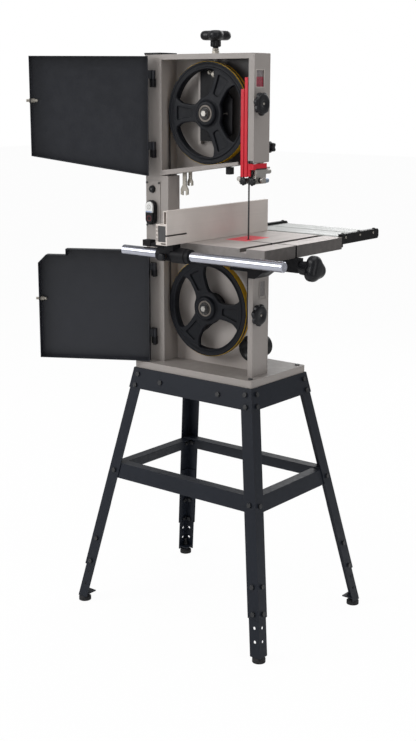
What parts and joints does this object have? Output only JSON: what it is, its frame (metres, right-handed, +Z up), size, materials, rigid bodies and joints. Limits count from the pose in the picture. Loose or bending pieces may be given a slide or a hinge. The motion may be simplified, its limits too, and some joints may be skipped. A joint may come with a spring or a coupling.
{
  "type": "band saw",
  "caption": "Two-wheel band saw on a splayed angle-steel stand, with hinged doors standing open, tilting table, rip fence on a round rail, and a sliding rear extension.",
  "frame": {"origin": "floor level, straight below the two wheel axles, on the wheels' mid-plane", "axes": "+X to the operator's right, +Y from the front (door side) to the back, +Z up"},
  "size_m": [0.7975, 0.6116, 1.541],
  "materials": {
    "body_paint": "satin",
    "dark_paint": "satin",
    "door_paint": "satin",
    "cast_black": "satin",
    "table_iron": "ground",
    "extrusion": "satin anodised",
    "chrome": "polished",
    "steel": "bright",
    "zinc": "zinc plated",
    "black_plastic": "matte",
    "red_guard": "gloss",
    "red_plastic": "gloss",
    "white_plastic": "gloss",
    "rubber": "matte",
    "tyre": "matte",
    "window": "clear",
    "slat": "anodised"
  },
  "bodies": {
    "frame": {"base_plate": "body_paint", "frame_bolts": "zinc", "frame_column": "body_paint", "column_cap": "black_plastic", "upper_wheel_box": "body_paint", "lower_housing": "body_paint", "right_post": "body_paint", "hinge_brackets": "zinc", "switch_plate": "black_plastic", "switch_housing": "black_plastic", "work_light": "black_plastic", "wrenches": "steel", "tracking_window": "window", "dust_port": "black_plastic", "motor": "dark_paint", "drive_belt": "rubber", "blade": "steel", "lower_axle": "steel", "lower_guides": "zinc", "trunnion_cradle": "cast_black", "stand_legs": "dark_paint", "leg_extensions": "dark_paint", "stand_rails": "dark_paint", "levelling_feet": "rubber"},
    "motor_pulley": {"motor_pulley": "steel"},
    "lower_wheel": {"lower_wheel": "cast_black", "lower_tyre": "tyre", "lower_bearings": "steel"},
    "upper_door": {"upper_door": "door_paint", "upper_door_stud": "zinc"},
    "lower_door": {"lower_door": "door_paint", "lower_door_stud": "zinc"},
    "upper_lock_knob": {"upper_lock_knob": "black_plastic"},
    "lower_lock_knob": {"lower_lock_knob": "black_plastic"},
    "tension_knob": {"tension_knob": "black_plastic"},
    "tension_carriage": {"tension_carriage": "cast_black", "tension_spring": "steel"},
    "tracking_knob": {"tracking_knob": "black_plastic"},
    "upper_axle": {"upper_axle": "steel"},
    "upper_wheel": {"upper_wheel": "cast_black", "upper_tyre": "tyre", "upper_bearings": "steel"},
    "guide_post": {"guide_post": "steel", "blade_guard": "red_guard", "guide_bearings": "steel", "guide_knobs": "black_plastic"},
    "guide_lock_knob": {"guide_lock_knob": "black_plastic"},
    "table": {"table": "table_iron", "table_insert": "red_plastic", "table_brackets": "cast_black", "fence_rail": "chrome"},
    "tilt_lock_knob": {"tilt_lock_knob": "black_plastic"},
    "fence": {"fence": "extrusion", "fence_carrier": "black_plastic"},
    "fence_lock_knob": {"fence_lock_knob": "black_plastic"},
    "extension": {"extension_arms": "black_plastic", "extension_slats": "slat"},
    "start_button": {"start_button": "white_plastic"},
    "stop_button": {"stop_button": "black_plastic"},
    "light_button": {"light_button": "white_plastic"}
  },
  "joints": [
    {"name": "upper_door_hinge", "type": "hinge", "parent": "frame", "child": "upper_door", "pos_m": [-0.15, -0.043, 1.335], "axis": [0, 0, -1], "range_deg": [-142, 25]},
    {"name": "lower_door_hinge", "type": "hinge", "parent": "frame", "child": "lower_door", "pos_m": [-0.15, -0.043, 0.85], "axis": [0, 0, -1], "range_deg": [-150, 17]},
    {"name": "upper_lock_turn", "type": "hinge", "parent": "frame", "child": "upper_lock_knob", "pos_m": [0.172, -0.026, 1.365], "axis": [1, 0, 0], "range_deg": [-360, 360]},
    {"name": "lower_lock_turn", "type": "hinge", "parent": "frame", "child": "lower_lock_knob", "pos_m": [0.172, -0.026, 0.85], "axis": [1, 0, 0], "range_deg": [-360, 360]},
    {"name": "tension_knob_turn", "type": "hinge", "parent": "frame", "child": "tension_knob", "pos_m": [0, 0.024, 1.5], "axis": [0, 0, 1], "range_deg": [-1450, 10]},
    {"name": "tension_slide", "type": "slide", "parent": "frame", "child": "tension_carriage", "axis": [0, 0, 1], "range_m": [-0.006, 0]},
    {"name": "tracking_knob_turn", "type": "hinge", "parent": "tension_carriage", "child": "tracking_knob", "pos_m": [-0.014, 0.04, 1.3895], "axis": [0, 1, 0], "range_deg": [-360, 360]},
    {"name": "wheel_tilt", "type": "hinge", "parent": "tension_carriage", "child": "upper_axle", "pos_m": [0, 0.014, 1.3395], "axis": [1, 0, 0], "range_deg": [-1.5, 1.5]},
    {"name": "lower_wheel_spin", "type": "hinge", "parent": "frame", "child": "lower_wheel", "pos_m": [0, 0, 0.8445], "axis": [0, 1, 0], "continuous": true},
    {"name": "upper_wheel_spin", "type": "hinge", "parent": "upper_axle", "child": "upper_wheel", "pos_m": [0, 0, 1.3395], "axis": [0, 1, 0], "continuous": true},
    {"name": "motor_pulley_spin", "type": "hinge", "parent": "frame", "child": "motor_pulley", "pos_m": [-0.075, 0.02, 0.764], "axis": [0, 1, 0], "continuous": true},
    {"name": "guide_post_slide", "type": "slide", "parent": "frame", "child": "guide_post", "axis": [0, 0, -1], "range_m": [-0.01, 0.11]},
    {"name": "guide_lock_turn", "type": "hinge", "parent": "frame", "child": "guide_lock_knob", "pos_m": [0.15, 0.04, 1.259], "axis": [0, 1, 0], "range_deg": [-180, 180]},
    {"name": "table_tilt", "type": "hinge", "parent": "frame", "child": "table", "pos_m": [0.1279, 0.002, 1.033], "axis": [0, 1, 0], "range_deg": [0, 25]},
    {"name": "tilt_lock_turn", "type": "hinge", "parent": "table", "child": "tilt_lock_knob", "pos_m": [0.32, -0.024, 0.98], "axis": [1, 0, 0], "range_deg": [-180, 180]},
    {"name": "fence_slide", "type": "slide", "parent": "table", "child": "fence", "axis": [-1, 0, 0], "range_m": [-0.07, 0.1]},
    {"name": "fence_lock_turn", "type": "hinge", "parent": "fence", "child": "fence_lock_knob", "pos_m": [0.025, -0.21, 1.003], "axis": [0, 1, 0], "range_deg": [-180, 180]},
    {"name": "extension_slide", "type": "slide", "parent": "table", "child": "extension", "axis": [0, 1, 0], "range_m": [0, 0.11]},
    {"name": "start_button_press", "type": "slide", "parent": "frame", "child": "start_button", "axis": [0, 1, 0], "range_m": [0, 0.003], "stiffness_N_per_m": 300},
    {"name": "stop_button_press", "type": "slide", "parent": "frame", "child": "stop_button", "axis": [0, 1, 0], "range_m": [0, 0.003], "stiffness_N_per_m": 300},
    {"name": "light_button_press", "type": "slide", "parent": "frame", "child": "light_button", "axis": [0, 1, 0], "range_m": [0, 0.002], "stiffness_N_per_m": 300}
  ],
  "couplings": [
    {"joint": "tension_knob_turn", "follows": "tension_slide", "rad_per_m": 4188.8},
    {"joint": "wheel_tilt", "follows": "tracking_knob_turn", "ratio": 0.004},
    {"joint": "upper_wheel_spin", "follows": "lower_wheel_spin", "ratio": 1},
    {"joint": "motor_pulley_spin", "follows": "lower_wheel_spin", "ratio": 2}
  ]
}
